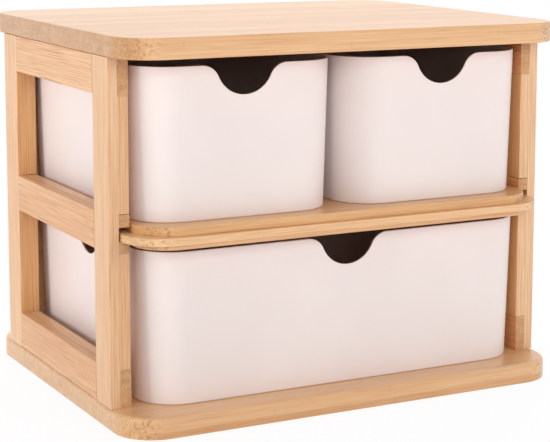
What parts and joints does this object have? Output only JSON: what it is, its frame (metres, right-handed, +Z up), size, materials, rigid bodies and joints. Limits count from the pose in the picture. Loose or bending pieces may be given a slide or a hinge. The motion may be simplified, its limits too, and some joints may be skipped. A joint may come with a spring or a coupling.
{
  "type": "desktop mini drawers",
  "caption": "Bamboo desktop cabinet with open ladder-frame sides, a middle shelf and loose white plastic bins with finger notches that slide forward and lift out.",
  "frame": {"origin": "middle of the underside of the bottom board, on the surface that the cabinet stands on", "axes": "+X to the right seen from the front, +Y to the back panel, so that the bins pull out along -Y, +Z up"},
  "size_m": [0.33, 0.27, 0.2565],
  "materials": {
    "bamboo": "satin clear lacquer over laminated bamboo strips",
    "bamboo_ply": "thin bamboo plywood, satin",
    "white_plastic": "matte warm white injection-moulded plastic",
    "dowel_wood": "plain",
    "zinc_steel": "zinc plated"
  },
  "bodies": {
    "cabinet": {"top_board": "bamboo", "bottom_board": "bamboo", "middle_shelf": "bamboo", "back_panel": "bamboo_ply", "left_front_stile": "bamboo", "left_rear_stile": "bamboo", "left_top_rail": "bamboo", "left_middle_rail": "bamboo", "left_bottom_rail": "bamboo", "right_front_stile": "bamboo", "right_rear_stile": "bamboo", "right_top_rail": "bamboo", "right_middle_rail": "bamboo", "right_bottom_rail": "bamboo", "top_dowels": "dowel_wood", "bottom_screws": "zinc_steel", "back_panel_pins": "zinc_steel"},
    "small_drawer_left": {"small_drawer_left": "white_plastic"},
    "small_drawer_right": {"small_drawer_right": "white_plastic"},
    "wide_drawer": {"wide_drawer": "white_plastic"}
  },
  "joints": [
    {"name": "small_drawer_left_slide", "type": "slide", "parent": "cabinet", "child": "small_drawer_left", "axis": [0, -1, 0], "range_m": [0, 0.236]},
    {"name": "small_drawer_right_slide", "type": "slide", "parent": "cabinet", "child": "small_drawer_right", "axis": [0, -1, 0], "range_m": [0, 0.236]},
    {"name": "wide_drawer_slide", "type": "slide", "parent": "cabinet", "child": "wide_drawer", "axis": [0, -1, 0], "range_m": [0, 0.236]}
  ]
}
